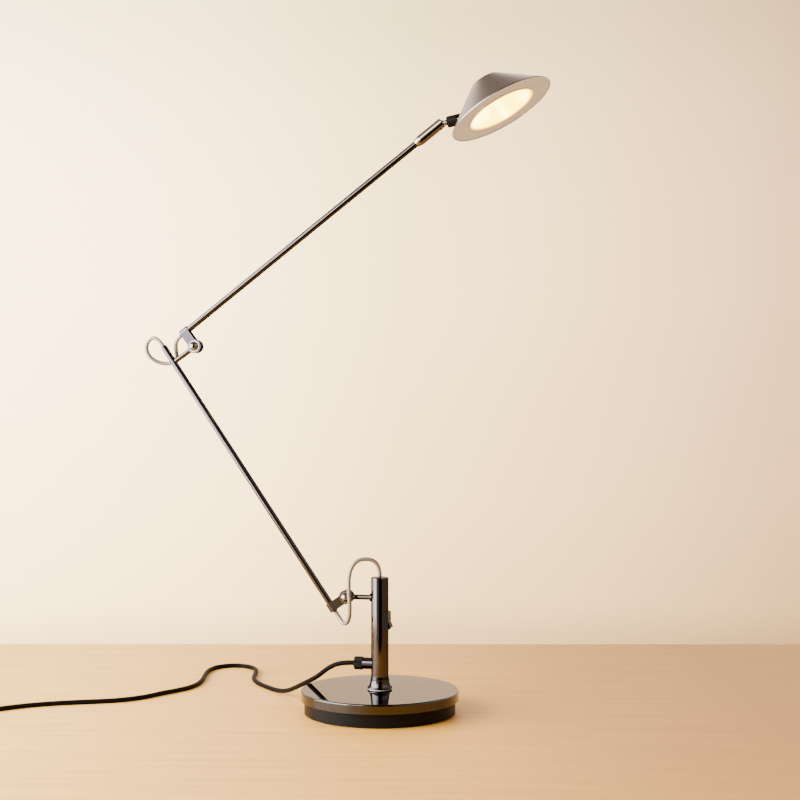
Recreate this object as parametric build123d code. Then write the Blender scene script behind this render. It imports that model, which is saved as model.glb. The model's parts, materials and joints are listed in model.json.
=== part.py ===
from build123d import *
import math
import os

# Slim articulated desk lamp: weighted round base, short post, two tube arms on friction pivots,
# a ball joint and a shallow cone shade with an LED light inside.
# Millimetres. +Z is up, the arms swing in the XZ plane, +X is the side of the head,
# and the origin is the centre of the underside of the base, on the axis of the post.

# ---------------------------------------------------------------- driving sizes
# Base
cover_diameter = 180.0
cover_depth = 11.0
cover_wall = 1.2
cover_edge_radius = 2.0
base_height = 27.0
tray_inset = 4.0
tray_wall = 2.5
tray_floor = 3.5
tray_flange_depth = 2.0
pad_inset = 6.0
pad_thickness = 2.0
pad_recess = 1.0
weight_thickness = 14.0
weight_boss_diameter = 40.0
base_screw_inset = 15.0
base_screw_diameter = 4.0
base_screw_head_diameter = 7.6
base_screw_head_depth = 1.4
base_screw_length = 10.0
base_screw_count = 4

# Swivel between base and post
swivel_bolt_diameter = 8.0
swivel_head_diameter = 15.0
swivel_head_depth = 5.3
swivel_head_room = 1.1
swivel_pocket_margin = 3.0
swivel_spring_margin = 1.0
swivel_bolt_engagement = 13.0
swivel_spring_thickness = 1.6
swivel_washer_diameter = 26.0
swivel_washer_thickness = 0.6

# Post
post_diameter = 20.0
post_wall = 1.5
post_top = 154.0
cap_depth = 4.0
cap_groove = 0.5
cap_groove_depth = 0.6
cap_spigot = 6.0
cap_bush_wall = 1.65
foot_diameter = 28.5
foot_height = 11.5
foot_bead_height = 2.6
foot_bell_diameter = 25.0
foot_lip = 0.6
foot_curve_out = 0.32
foot_curve_up = 0.4
foot_plug_height = 16.0
foot_plug_top = 2.0

# Pivots: the same hardware at both ends of the lower arm
pivot_x = -38.9
pivot_z = 130.8
knuckle_diameter = 15.4
knuckle_thickness = 5.4
stub_diameter = 5.8
stub_flange_diameter = 9.2
stub_flange_thickness = 1.4
stub_thread_diameter = 4.8
stub_nut_depth = 3.9
stub_nut_diameter = 9.4
stub_thread_past_flex = 1.0
pivot_bolt_diameter = 4.0
friction_washer_diameter = 14.0
strap_width = 10.7
strap_thickness = 1.5
cheek_diameter = 16.0
pivot_offset = 21.0
dome_diameter = 10.6
dome_height = 5.6
dome_shoulder = 1.2
dome_flange_diameter = 13.6
dome_flange_thickness = 0.9
dome_thread_depth = 3.0

# Arms
tube_diameter = 7.4
tube_wall = 1.0
tube_tail = 6.0
lower_angle = 124.5
lower_tube_length = 370.0
elbow_inset = 22.6
elbow_reach = 32.8
upper_angle = 37.2
upper_tube_length = 365.0

# Head joint
cap_ball_wall = 1.0
sleeve_grip = 10.5
sleeve_length = 28.8
sleeve_nose = 9.0
sleeve_nose_lip = 0.5
sleeve_wall = 0.8
cap_length = 8.9
cap_spigot_length = 8.0
cap_gap = 0.4
ball_depth = 5.9
ball_diameter = 9.6
cap_lip_share = 0.86
wire_bore = 2.6
neck_diameter = 6.2
neck_angle = 11.0
head_turn = -3.6
collar_start = 8.4
collar_length = 11.8
collar_diameter = 13.0
collar_edge = 0.5
collar_ring_length = 1.5
collar_ring_diameter = 7.6
bracket_diameter = 7.2
bracket_length = 2.6
saddle_level = 3.0
head_thread_diameter = 4.4
head_nut_diameter = 8.0
stud_inside = 6.0
nut_short_of_end = 1.0

# Shade and light
bracket_level = 16.0
face_angle = 60.4
rim_diameter = 124.2
rim_band = 1.0
shade_height = 38.5
shade_top_diameter = 35.2
shade_wall = 1.2
vent_diameter = 10.0
vent_height = 2.4
vent_stem_diameter = 6.0
vent_stem_inside = 1.5
ring_thickness = 1.5
ring_setback = 0.4
lens_diameter = 78.4
lens_thickness = 2.6
lens_setback = 0.6
lens_ring_wall = 1.5
lens_ledge = 1.8
lens_ledge_thickness = 1.0
lens_ring_lip = 0.8
sink_gap = 2.0
sink_edge = 0.8
sink_thickness = 2.0
leg_diameter = 4.0
leg_inset = 1.3
leg_count = 3
fin_count = 9
fin_pitch = 6.0
fin_thickness = 1.4
fin_height = 13.0
fin_field_diameter = 60.0
board_diameter = 68.0
board_thickness = 1.6
chip_size = 3.0
chip_thickness = 0.7
chip_rings = ((6, 11.0), (12, 24.0))
driver_length = 28.0
driver_width = 18.0
driver_height = 8.0

# Switch on the +X side of the post
switch_z = 105.0
bezel_height = 21.0
bezel_width = 15.0
bezel_proud = 1.4
switch_body_height = 19.4
switch_body_width = 12.6
switch_wall = 0.5
switch_back_room = 0.6
rocker_pivot_depth = 3.0
rocker_half_length = 8.2
rocker_tip = 4.6
rocker_dip = 2.6
rocker_shoulder = 0.4
rocker_belly_room = 1.4
rocker_belly_half = 2.2
rocker_pin_reach = 0.8
rocker_tilt = 11.0
rocker_pin_diameter = 2.4

# Cord inlet on the -X side of the post
inlet_z = 55.5
boss_diameter = 13.0
boss_length = 9.5
snout_diameter = 11.2
snout_length = 5.0
boss_spigot_diameter = 8.0
boss_spigot_length = 2.5
gland_diameter = 15.0
gland_length = 9.5
gland_ridges = 24
gland_ridge_depth = 0.45
gland_end_wall = 1.3
terminal_length = 18.0
terminal_width = 9.0
terminal_depth = 8.0
tail_turn_x = 1.5
tail_rise = 8.5
terminal_screw_diameter = 3.0
terminal_screw_depth = 2.0

# Cords
flex_room = 0.4
mains_diameter = 5.5
coil_mean_radius = 28.7
coil_pitch = 6.1
coil_layer_step = 6.1
coil_quarters = 21
coil_lead = 6.0
coil_landing = 26.0
table_gap = 0.05
plug_body_length = 34.0
plug_body_width = 26.0
plug_body_thickness = 14.0
plug_neck_half = 4.5
plug_grip_start = 8.0
plug_grip_half = 5.5
plug_shoulder_start = 17.0
plug_edge = 1.6
plug_pin_round = 1.2
plug_pin_diameter = 4.0
plug_pin_length = 19.0
plug_pin_spacing = 19.0

# Clearances
slide_fit = 0.1
braze_fit = 0.05
running_fit = 0.3

# ---------------------------------------------------------------- worked out from them
tray_diameter = cover_diameter - 2 * tray_inset
pad_diameter = tray_diameter - 2 * pad_inset
base_screw_circle = pad_diameter - 2 * base_screw_inset
cover_underside = base_height - cover_wall
tray_bottom = pad_thickness - pad_recess
weight_bottom = tray_bottom + tray_floor
swivel_pocket_top = weight_bottom + swivel_head_room + swivel_head_depth + swivel_spring_thickness
post_bottom = base_height + swivel_washer_thickness
post_radius = post_diameter / 2
post_bore_radius = post_radius - post_wall
cap_seat = post_top - cap_depth - cap_groove
cheek_gap = tube_diameter / 2 + braze_fit
friction_washer_thickness = cheek_gap - knuckle_thickness / 2
stack_half = cheek_gap + strap_thickness
tube_bore = tube_diameter - 2 * tube_wall
flex_diameter = tube_bore - 2 * flex_room
cap_hole_diameter = flex_diameter + 2 * (cap_bush_wall + braze_fit)
elbow_along = lower_tube_length - tube_tail - elbow_inset
elbow_side = pivot_offset - elbow_reach
upper_tube_end = upper_tube_length - tube_tail
sleeve_start = upper_tube_end - sleeve_grip
sleeve_end = sleeve_start + sleeve_length
cap_start = sleeve_end + cap_gap
cap_bore_radius = ball_diameter / 2 + slide_fit
sleeve_diameter = 2 * (cap_bore_radius + cap_ball_wall)
ball_along = cap_start + ball_depth
rim_radius = rim_diameter / 2
shade_top_radius = shade_top_diameter / 2
cone_slope = (rim_radius - shade_top_radius) / (shade_height - rim_band)
wall_across = shade_wall * math.hypot(1, cone_slope)
shade_inner_radius = rim_radius - shade_wall
shade_knee = rim_band - (wall_across - shade_wall) / cone_slope
collar_end = collar_start + collar_length
bracket_reach = collar_end + collar_ring_length
stud_reach = bracket_reach + bracket_length + stud_inside
lens_ring_depth = lens_setback + lens_thickness + lens_ledge_thickness + lens_ring_lip
lens_ring_diameter = lens_diameter + 2 * lens_ring_wall
sink_level = lens_ring_depth + sink_gap
leg_circle = lens_ring_diameter + 2 * leg_inset + leg_diameter
sink_diameter = leg_circle + leg_diameter + 2 * sink_edge
bezel_front_x = post_radius + bezel_proud
switch_back_x = flex_diameter / 2 + switch_back_room
rocker_pivot_x = bezel_front_x - rocker_pivot_depth
terminal_z = inlet_z + tail_rise
on_table = mains_diameter / 2 + table_gap
boss_end_x = -post_radius - boss_length
gland_start_x = boss_end_x - running_fit
gland_exit_x = gland_start_x - gland_length

DOWN_Z = (Align.CENTER, Align.CENTER, Align.MIN)


# ---------------------------------------------------------------- small helpers
def disc(diameter, low, high):
    """An upright cylinder about Z between two heights."""
    return Pos(0, 0, low) * Cylinder(diameter / 2, high - low, align=DOWN_Z)


def washer(outer, inner, low, high):
    """An upright ring about Z between two heights."""
    return disc(outer, low, high) - disc(inner, low - 1, high + 1)


def bar(diameter, start, end):
    """A cylinder between two points."""
    line = Vector(*end) - Vector(*start)
    return Plane(origin=start, z_dir=line) * Cylinder(diameter / 2, line.length, align=DOWN_Z)


def along(diameter, side, start, end):
    """In an arm's own frame, a cylinder along the arm at that offset from its pivot."""
    return Pos(start, side, 0) * Rot(0, 90, 0) * Cylinder(diameter / 2, end - start, align=DOWN_Z)


def turned(*edges):
    """A solid turned about Z from a closed outline in the XZ plane."""
    return revolve(make_face(edges), Axis.Z)


def outline(*points):
    """A closed outline in the XZ plane from (radius, height) points."""
    return Polyline(*[(r, 0, z) for r, z in points], close=True)


def arm_plane(x, z, angle):
    """An arm's frame: its own x runs along the arm, y from the pivot to the tube, z to the viewer."""
    turn = math.radians(angle)
    return Plane(origin=(x, 0, z), x_dir=(math.cos(turn), 0, math.sin(turn)), z_dir=(0, -1, 0))


lower_arm = arm_plane(pivot_x, pivot_z, lower_angle)
elbow = lower_arm.from_local_coords(Vector(elbow_along, elbow_side, 0))
upper_arm = arm_plane(elbow.X, elbow.Z, upper_angle)
ball_centre = upper_arm.from_local_coords(Vector(ball_along, pivot_offset, 0))


def head_direction(angle):
    """A direction of the head: drawn in the XZ plane, then turned with it about the upper arm."""
    turn = math.radians(angle)
    return Vector(math.cos(turn), 0, math.sin(turn)).rotate(Axis((0, 0, 0), upper_arm.x_dir), head_turn)


neck_line = head_direction(neck_angle)
neck_up = head_direction(neck_angle + 90)
# The head's frame stands on the middle of the rim's plane, its z towards the top of the shade,
# and is placed so that the neck's axis meets the sloping side where the bracket ends.
face_x = head_direction(90 - face_angle)
face_z = head_direction(180 - face_angle)
bracket_end = ball_centre + neck_line * (bracket_reach + bracket_length)
bracket_side = rim_radius - (bracket_level - rim_band) * cone_slope
rim_centre = bracket_end + face_x * bracket_side - face_z * bracket_level
head = Plane(origin=rim_centre, x_dir=face_x, z_dir=face_z)


def on_neck(distance):
    """The point on the neck's axis at that distance from the centre of the ball."""
    return tuple(ball_centre + neck_line * distance)


# ---------------------------------------------------------------- base
def screw_places():
    return PolarLocations(base_screw_circle / 2, base_screw_count, start_angle=45)


def base_cover():
    shell = disc(cover_diameter, base_height - cover_depth, base_height)
    shell = fillet(shell.edges().group_by(Axis.Z)[-1], cover_edge_radius)
    shell -= disc(cover_diameter - 2 * cover_wall, 0, cover_underside)
    return shell - disc(swivel_bolt_diameter + 2 * running_fit, 0, base_height + 1)


def base_tray():
    wall_bore = tray_diameter - 2 * tray_wall
    flange = cover_diameter - 2 * cover_wall - 2 * running_fit
    tray = disc(tray_diameter, tray_bottom, cover_underside)
    tray += disc(flange, cover_underside - tray_flange_depth, cover_underside)
    tray -= disc(wall_bore, weight_bottom, base_height)
    tray -= disc(pad_diameter + 2 * slide_fit, 0, pad_thickness)
    head_top = pad_thickness + base_screw_head_depth
    for place in screw_places():
        tray -= place * disc(base_screw_head_diameter + 2 * slide_fit, 0, head_top)
        tray -= place * disc(base_screw_diameter + 2 * slide_fit, 0, weight_bottom + 1)
    return tray


def base_weight():
    weight_diameter = tray_diameter - 2 * tray_wall - 2 * running_fit
    weight = disc(weight_diameter, weight_bottom, weight_bottom + weight_thickness)
    weight += disc(weight_boss_diameter, weight_bottom, cover_underside)
    weight -= disc(swivel_bolt_diameter + 2 * running_fit, 0, base_height)
    weight -= disc(swivel_head_diameter + 2 * swivel_pocket_margin, 0, swivel_pocket_top)
    for place in screw_places():
        hole_top = pad_thickness + base_screw_head_depth + base_screw_length + 1
        weight -= place * disc(base_screw_diameter + 2 * slide_fit, 0, hole_top)
    return weight


def base_pad():
    return disc(pad_diameter, 0, pad_thickness)


def base_screws():
    head_top = pad_thickness + base_screw_head_depth
    screw = disc(base_screw_head_diameter, pad_thickness, head_top)
    screw += disc(base_screw_diameter, pad_thickness, head_top + base_screw_length)
    return Compound([place * screw for place in screw_places()])


# ---------------------------------------------------------------- swivel
def swivel_washer():
    return washer(swivel_washer_diameter, swivel_bolt_diameter + 2 * running_fit, base_height, post_bottom)


def swivel_spring():
    outer = swivel_head_diameter + 2 * swivel_spring_margin
    inner = swivel_bolt_diameter + 2 * running_fit
    return washer(outer, inner, swivel_pocket_top - swivel_spring_thickness, swivel_pocket_top)


def swivel_bolt():
    head_top = swivel_pocket_top - swivel_spring_thickness
    hexagon = RegularPolygon(swivel_head_diameter / 2, 6)
    bolt = Pos(0, 0, head_top - swivel_head_depth) * extrude(hexagon, swivel_head_depth)
    return bolt + disc(swivel_bolt_diameter, head_top, post_bottom + swivel_bolt_engagement)


# ---------------------------------------------------------------- post
def post_tube():
    tube = washer(post_diameter, 2 * post_bore_radius, post_bottom, cap_seat)
    tube -= bar(stub_thread_diameter + 2 * slide_fit, (0, 0, pivot_z), (-post_diameter, 0, pivot_z))
    tube -= bar(boss_spigot_diameter + 2 * slide_fit, (0, 0, inlet_z), (-post_diameter, 0, inlet_z))
    cut_width = switch_body_width + 2 * slide_fit
    cut_height = switch_body_height + 2 * slide_fit
    return tube - Pos(post_radius, 0, switch_z) * Box(post_diameter, cut_width, cut_height)


def post_foot():
    """The collar round the bottom of the post: a round bead, and a bell that narrows to the tube."""
    inner = post_radius + braze_fit
    outer = foot_diameter / 2
    bell = foot_bell_diameter / 2
    side = outer - foot_bead_height / 2
    bead_middle = post_bottom + foot_bead_height / 2
    bead_top = post_bottom + foot_bead_height
    top = post_bottom + foot_height
    lip = inner + foot_lip
    return turned(
        Polyline((lip, 0, top), (inner, 0, top), (inner, 0, post_bottom), (side, 0, post_bottom)),
        ThreePointArc((side, 0, post_bottom), (outer, 0, bead_middle), (side, 0, bead_top)),
        Line((side, 0, bead_top), (bell, 0, bead_top)),
        ThreePointArc(
            (bell, 0, bead_top),
            (lip + foot_curve_out * (bell - lip), 0, bead_top + foot_curve_up * (top - bead_top)),
            (lip, 0, top),
        ),
    )


def foot_plug():
    """Pressed into the bottom of the tube, tapped for the swivel bolt."""
    plug_top = post_bottom + foot_plug_height
    stopper = disc(2 * (post_bore_radius - braze_fit), post_bottom, plug_top)
    return stopper - disc(swivel_bolt_diameter + slide_fit, 0, plug_top - foot_plug_top)


def post_cap():
    top = disc(post_diameter, post_top - cap_depth, post_top)
    top = chamfer(top.edges().group_by(Axis.Z)[-1], 0.5)
    top += disc(post_diameter - 2 * cap_groove_depth, cap_seat, post_top - cap_depth)
    top += disc(2 * (post_bore_radius - slide_fit), cap_seat - cap_spigot, cap_seat)
    return top - disc(cap_hole_diameter, 0, post_top + 1)


def cap_bush():
    return washer(
        cap_hole_diameter - 2 * braze_fit, flex_diameter + 2 * braze_fit, cap_seat - cap_spigot, post_top
    )


def pivot_stub():
    """The rod through the side of the post that ends in the lower pivot's round knuckle."""
    rod_end = pivot_x + friction_washer_diameter / 2 + slide_fit
    stub = bar(stub_diameter, (-post_radius, 0, pivot_z), (rod_end, 0, pivot_z))
    flange_end = -post_radius - stub_flange_thickness
    stub += bar(stub_flange_diameter, (-post_radius + 2, 0, pivot_z), (flange_end, 0, pivot_z))
    stub -= disc(post_diameter + 2 * braze_fit, post_bottom, post_top)
    thread_end = -flex_diameter / 2 - stub_thread_past_flex
    stub += bar(stub_thread_diameter, (-post_radius - 1, 0, pivot_z), (thread_end, 0, pivot_z))
    return stub + lower_arm * knuckle()


def stub_nut():
    outer = -post_bore_radius + stub_nut_depth
    nut = bar(stub_nut_diameter, (-post_radius, 0, pivot_z), (outer, 0, pivot_z))
    nut -= bar(stub_thread_diameter + slide_fit, (-post_radius, 0, pivot_z), (0, 0, pivot_z))
    return nut & disc(2 * (post_bore_radius - braze_fit), post_bottom, post_top)


# ---------------------------------------------------------------- switch
def switch_housing():
    depth = bezel_front_x - switch_back_x
    centre = (bezel_front_x + switch_back_x) / 2
    bezel = Pos(bezel_front_x / 2, 0, switch_z) * Box(bezel_front_x, bezel_width, bezel_height)
    bezel = chamfer(bezel.edges().group_by(Axis.X)[-1], 0.4)
    bezel -= disc(post_diameter + 2 * braze_fit, 0, post_top)
    housing = bezel + Pos(centre, 0, switch_z) * Box(depth, switch_body_width, switch_body_height)
    cavity_depth = depth - 2 * switch_wall
    housing -= Pos(bezel_front_x, 0, switch_z) * Box(
        2 * cavity_depth, switch_body_width - 2 * switch_wall, switch_body_height - 2 * switch_wall
    )
    pin_reach = bezel_width / 2 - switch_wall
    return housing - bar(
        rocker_pin_diameter + 2 * running_fit,
        (rocker_pivot_x, -pin_reach, switch_z),
        (rocker_pivot_x, pin_reach, switch_z),
    )


def switch_rocker():
    """The rocker at rest: its lower half stands out, and its upper half is pressed in."""
    half_width = switch_body_width / 2 - switch_wall - running_fit
    belly = rocker_pivot_x - switch_back_x - switch_wall - rocker_belly_room
    points = [
        (rocker_tip, rocker_half_length),
        (rocker_dip, 0),
        (rocker_tip, -rocker_half_length),
        (rocker_shoulder, -rocker_half_length),
        (-belly, -rocker_belly_half),
        (-belly, rocker_belly_half),
        (rocker_shoulder, rocker_half_length),
    ]
    side = Plane.XZ * make_face(Polyline(*points, close=True))
    rocker = extrude(side, half_width, both=True)
    pin_reach = half_width + rocker_pin_reach
    rocker += bar(rocker_pin_diameter, (0, -pin_reach, 0), (0, pin_reach, 0))
    return Pos(rocker_pivot_x, 0, switch_z) * Rot(0, -rocker_tilt, 0) * rocker


# ---------------------------------------------------------------- cord inlet
def inlet_bar(diameter, start, end):
    return bar(diameter, (start, 0, inlet_z), (end, 0, inlet_z))


def cord_boss():
    boss = inlet_bar(boss_diameter, -post_radius + 3, boss_end_x)
    boss += inlet_bar(snout_diameter, boss_end_x, boss_end_x - snout_length)
    boss -= disc(post_diameter + 2 * braze_fit, post_bottom, post_top)
    boss += inlet_bar(boss_spigot_diameter, -post_radius - 1, -post_bore_radius + boss_spigot_length)
    return boss - inlet_bar(mains_diameter + 2 * slide_fit, 0, boss_end_x - 2 * snout_length)


def gland_nut():
    """The knurled nut that squeezes the bush round the cord."""
    step = math.pi / gland_ridges
    points = []
    for i in range(2 * gland_ridges):
        r = gland_diameter / 2 - gland_ridge_depth * (i % 2)
        points.append((r * math.cos(i * step), r * math.sin(i * step)))
    face = make_face(Polyline(*points, close=True))
    place = Plane(origin=(gland_start_x, 0, inlet_z), z_dir=(-1, 0, 0))
    nut = place * extrude(face, gland_length)
    nut &= place * chamfer(
        Cylinder(gland_diameter / 2 + 0.2, gland_length, align=DOWN_Z).edges().group_by(Axis.Z)[-1], 0.8
    )
    nut -= inlet_bar(snout_diameter + 2 * slide_fit, gland_start_x + 1, gland_exit_x + gland_end_wall)
    return nut - inlet_bar(mains_diameter + 2 * slide_fit, 0, gland_exit_x - 1)


def gland_bush():
    start = boss_end_x - snout_length
    bush = inlet_bar(snout_diameter - slide_fit, start, gland_exit_x + gland_end_wall)
    return bush - inlet_bar(mains_diameter + 2 * braze_fit, 0, gland_exit_x)


def mains_tail():
    """The end of the mains cord inside the inlet and the post."""
    start = (gland_exit_x, 0, inlet_z)
    corner = (tail_turn_x, 0, inlet_z)
    route = FilletPolyline(start, corner, (tail_turn_x, 0, terminal_z), radius=mains_diameter)
    return sweep(Plane(origin=route @ 0, z_dir=route % 0) * Circle(mains_diameter / 2), path=route)


def terminal_block():
    block = Pos(0, 0, terminal_z + terminal_length / 2) * Box(terminal_depth, terminal_width, terminal_length)
    screw_bottom = terminal_depth / 2 - terminal_screw_depth
    for share in (0.25, 0.75):
        screw_z = terminal_z + share * terminal_length
        block -= bar(terminal_screw_diameter, (screw_bottom, 0, screw_z), (terminal_depth, 0, screw_z))
    return block


def post_flex():
    return disc(flex_diameter, terminal_z + terminal_length, post_top)


# ---------------------------------------------------------------- arm hardware
def knuckle():
    """A round knuckle about a pivot, in that arm's frame, bored for the pivot bolt."""
    half = knuckle_thickness / 2
    body = disc(knuckle_diameter, -half, half)
    body = chamfer(body.edges().filter_by(GeomType.CIRCLE), 0.3)
    return body - disc(pivot_bolt_diameter + 2 * running_fit, -half - 1, half + 1)


def clevis():
    """The folded strap: its bend wraps the tube's end and its round cheeks clamp the knuckle."""
    half = strap_width / 2
    cheek = Rectangle(strap_width, pivot_offset, align=(Align.CENTER, Align.MIN)) + Circle(cheek_diameter / 2)
    strap = Pos(0, 0, cheek_gap) * extrude(cheek, strap_thickness)
    strap += Pos(0, 0, -stack_half) * extrude(cheek, strap_thickness)
    bend = along(2 * stack_half, pivot_offset, -half, half)
    bend -= along(2 * cheek_gap, pivot_offset, -half - 1, half + 1)
    bend &= Pos(0, pivot_offset, 0) * Box(
        strap_width, 2 * stack_half, 2 * stack_half, align=(Align.CENTER, Align.MIN, Align.CENTER)
    )
    strap += bend
    return strap - disc(pivot_bolt_diameter + 2 * slide_fit, -stack_half - 1, stack_half + 1)


def pivot_bolt():
    reach = stack_half + dome_flange_thickness + dome_thread_depth - slide_fit
    return disc(pivot_bolt_diameter, -reach, reach)


def dome_nut():
    """A flanged dome nut standing on z = 0, with a blind bore."""
    r = dome_diameter / 2
    flange = dome_flange_diameter / 2
    base = dome_flange_thickness
    shoulder = base + dome_shoulder
    top = base + dome_height
    rise = top - shoulder
    ball_radius = (r**2 + rise**2) / (2 * rise)
    half_turn = math.asin(min(r / ball_radius, 1)) / 2
    middle = (ball_radius * math.sin(half_turn), 0, top - ball_radius * (1 - math.cos(half_turn)))
    shell = turned(
        Polyline((0, 0, top), (0, 0, 0), (flange, 0, 0), (flange, 0, base), (r, 0, base), (r, 0, shoulder)),
        ThreePointArc((r, 0, shoulder), middle, (0, 0, top)),
    )
    return shell - disc(pivot_bolt_diameter + slide_fit, -1, base + dome_thread_depth)


def dome_nuts():
    nut = Pos(0, 0, stack_half) * dome_nut()
    return Compound([nut, Rot(180, 0, 0) * nut])


def friction_washers():
    half = knuckle_thickness / 2
    bore = pivot_bolt_diameter + 2 * slide_fit
    ring = washer(friction_washer_diameter, bore, half, half + friction_washer_thickness)
    return Compound([ring, Rot(180, 0, 0) * ring])


def arm_tube(length):
    return along(tube_diameter, pivot_offset, -tube_tail, length - tube_tail) - along(
        tube_bore, pivot_offset, -tube_tail - 1, length
    )


def arm_flex(end):
    return along(flex_diameter, pivot_offset, -tube_tail, end)


def elbow_stub():
    """The stub that stands square on the lower tube and carries the elbow's knuckle."""
    rod_start = elbow_side + friction_washer_diameter / 2 + slide_fit
    rod = bar(stub_diameter, (elbow_along, rod_start, 0), (elbow_along, pivot_offset, 0))
    rod -= along(tube_diameter + 2 * braze_fit, pivot_offset, 0, lower_tube_length)
    past_tube = Pos(elbow_along, pivot_offset, 0) * Box(
        4 * stub_diameter, 4 * tube_diameter, 4 * stub_diameter, align=(Align.CENTER, Align.MIN, Align.CENTER)
    )
    return rod - past_tube + Pos(elbow_along, elbow_side, 0) * knuckle()


# ---------------------------------------------------------------- head joint
def upright(shape, start):
    """A shape turned about Z, laid along the upper arm from that distance."""
    return upper_arm * (Pos(start, pivot_offset, 0) * Rot(0, 90, 0) * shape)


def head_sleeve():
    """The bullet-shaped sleeve at the end of the upper tube."""
    r = sleeve_diameter / 2
    nose = tube_diameter / 2 + sleeve_nose_lip
    inner = tube_diameter / 2 + braze_fit
    shell = turned(
        Polyline(
            (r, 0, sleeve_nose), (r, 0, sleeve_length), (inner, 0, sleeve_length), (inner, 0, 0), (nose, 0, 0)
        ),
        ThreePointArc((nose, 0, 0), (nose + 0.68 * (r - nose), 0, 0.38 * sleeve_nose), (r, 0, sleeve_nose)),
    )
    bore = disc(2 * (r - sleeve_wall), sleeve_grip + running_fit, sleeve_length + 1)
    return upright(shell - bore, sleeve_start)


def socket_cap():
    """The turning end of the sleeve: it holds the ball, and is slotted below for the neck."""
    r = sleeve_diameter / 2
    lip = cap_bore_radius * cap_lip_share
    spigot = r - sleeve_wall - running_fit
    centre = ball_along - cap_start
    shell = disc(2 * r, 0, cap_length)
    shell = chamfer(shell.edges().group_by(Axis.Z)[-1], 0.6)
    shell += disc(2 * spigot, -cap_spigot_length, 0)
    shell -= disc(2 * (spigot - sleeve_wall), -cap_spigot_length - 1, centre)
    shell -= disc(2 * cap_bore_radius, sleeve_wall, centre)
    shell -= disc(2 * lip, centre, cap_length + 1)
    shell -= Pos(0, 0, centre) * Sphere(cap_bore_radius)
    half_slot = neck_diameter / 2 + running_fit
    slot = Pos(0, 0, centre) * Rot(0, 90, 0) * Cylinder(half_slot, sleeve_diameter, align=DOWN_Z)
    slot += Pos(0, 0, centre) * Box(
        sleeve_diameter, 2 * half_slot, cap_length, align=(Align.MIN, Align.CENTER, Align.MIN)
    )
    return upright(shell, cap_start) - upper_arm * (
        Pos(cap_start, pivot_offset, 0) * Rot(head_turn, 0, 0) * Rot(0, 90, 0) * Rot(0, 0, -90) * slot
    )


def ball_seat():
    """The nylon cup behind the ball, low enough for the neck to tilt square to the arm."""
    centre = ball_along - cap_start
    top = centre - neck_diameter / 2 - running_fit
    cup = disc(2 * (cap_bore_radius - slide_fit), sleeve_wall + slide_fit, top)
    cup -= Pos(0, 0, centre) * Sphere(ball_diameter / 2 + slide_fit)
    return upright(cup - disc(flex_diameter, centre - 10, centre), cap_start)


def ball_stud():
    ball = Pos(*ball_centre) * Sphere(ball_diameter / 2)
    stud = ball + bar(neck_diameter, tuple(ball_centre), on_neck(collar_start))
    stud += bar(head_thread_diameter, tuple(ball_centre), on_neck(stud_reach))
    return stud - bar(wire_bore, on_neck(-ball_diameter), on_neck(stud_reach + 1))


def head_collar():
    body = Cylinder(collar_diameter / 2, collar_length, align=DOWN_Z)
    body = chamfer(body.edges().filter_by(GeomType.CIRCLE), collar_edge)
    collar = Plane(origin=on_neck(collar_start), z_dir=neck_line) * body
    return collar - bar(head_thread_diameter + 2 * braze_fit, on_neck(0), on_neck(collar_end + 1))


def collar_ring():
    ring = bar(collar_ring_diameter, on_neck(collar_end), on_neck(bracket_reach))
    return ring - bar(head_thread_diameter + 2 * braze_fit, on_neck(0), on_neck(stud_reach))


# ---------------------------------------------------------------- shade, in the head's own frame
def cone_filled(inset):
    """The shade's cone, filled, drawn in by a share of its wall."""
    r = rim_radius - inset * wall_across
    top = shade_height - inset * shade_wall
    tip = shade_top_radius + (shade_height - top) * cone_slope - inset * wall_across
    return head * turned(outline((0, -1), (r, -1), (r, rim_band), (tip, top), (0, top)))


def shade():
    top = shade_height - shade_wall
    tip = shade_top_radius + shade_wall * cone_slope - wall_across
    hole = vent_stem_diameter / 2 + slide_fit
    shell = turned(
        outline(
            (shade_inner_radius, 0),
            (rim_radius, 0),
            (rim_radius, rim_band),
            (shade_top_radius, shade_height),
            (hole, shade_height),
            (hole, top),
            (tip, top),
            (shade_inner_radius, shade_knee),
        )
    )
    stud_hole = bar(head_thread_diameter + 2 * slide_fit, on_neck(bracket_reach), on_neck(stud_reach))
    return head * shell - stud_hole


def shade_bracket():
    """The dark saddle on the sloping side of the shade: over the ring it reaches the collar."""
    saddle = bar(collar_diameter, on_neck(collar_end), on_neck(stud_reach))
    saddle &= Plane(origin=ball_centre, x_dir=neck_line, z_dir=neck_up) * (
        Pos(collar_end, 0, saddle_level)
        * Box(stud_reach, collar_diameter, collar_diameter, align=(Align.MIN, Align.CENTER, Align.MIN))
    )
    saddle -= bar(collar_ring_diameter + 2 * slide_fit, on_neck(collar_end - 1), on_neck(bracket_reach))
    block = bar(bracket_diameter, on_neck(bracket_reach), on_neck(stud_reach)) + saddle
    block -= cone_filled(0) + cone_filled(-0.02)
    block = block.solids().sort_by(Axis.X)[0]
    return block - bar(head_thread_diameter + 2 * braze_fit, on_neck(0), on_neck(stud_reach + 1))


def bracket_nut():
    nut = bar(head_nut_diameter, on_neck(bracket_reach), on_neck(stud_reach - nut_short_of_end))
    nut &= cone_filled(1.02)
    return nut - bar(head_thread_diameter + 2 * braze_fit, on_neck(0), on_neck(stud_reach + 1))


def top_vent():
    stem = disc(vent_stem_diameter, shade_height - shade_wall - vent_stem_inside, shade_height + 1)
    cap = disc(vent_diameter, shade_height, shade_height + vent_height)
    cap = fillet(cap.edges().group_by(Axis.Z)[-1], 1.0)
    return head * (stem + cap)


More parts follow.
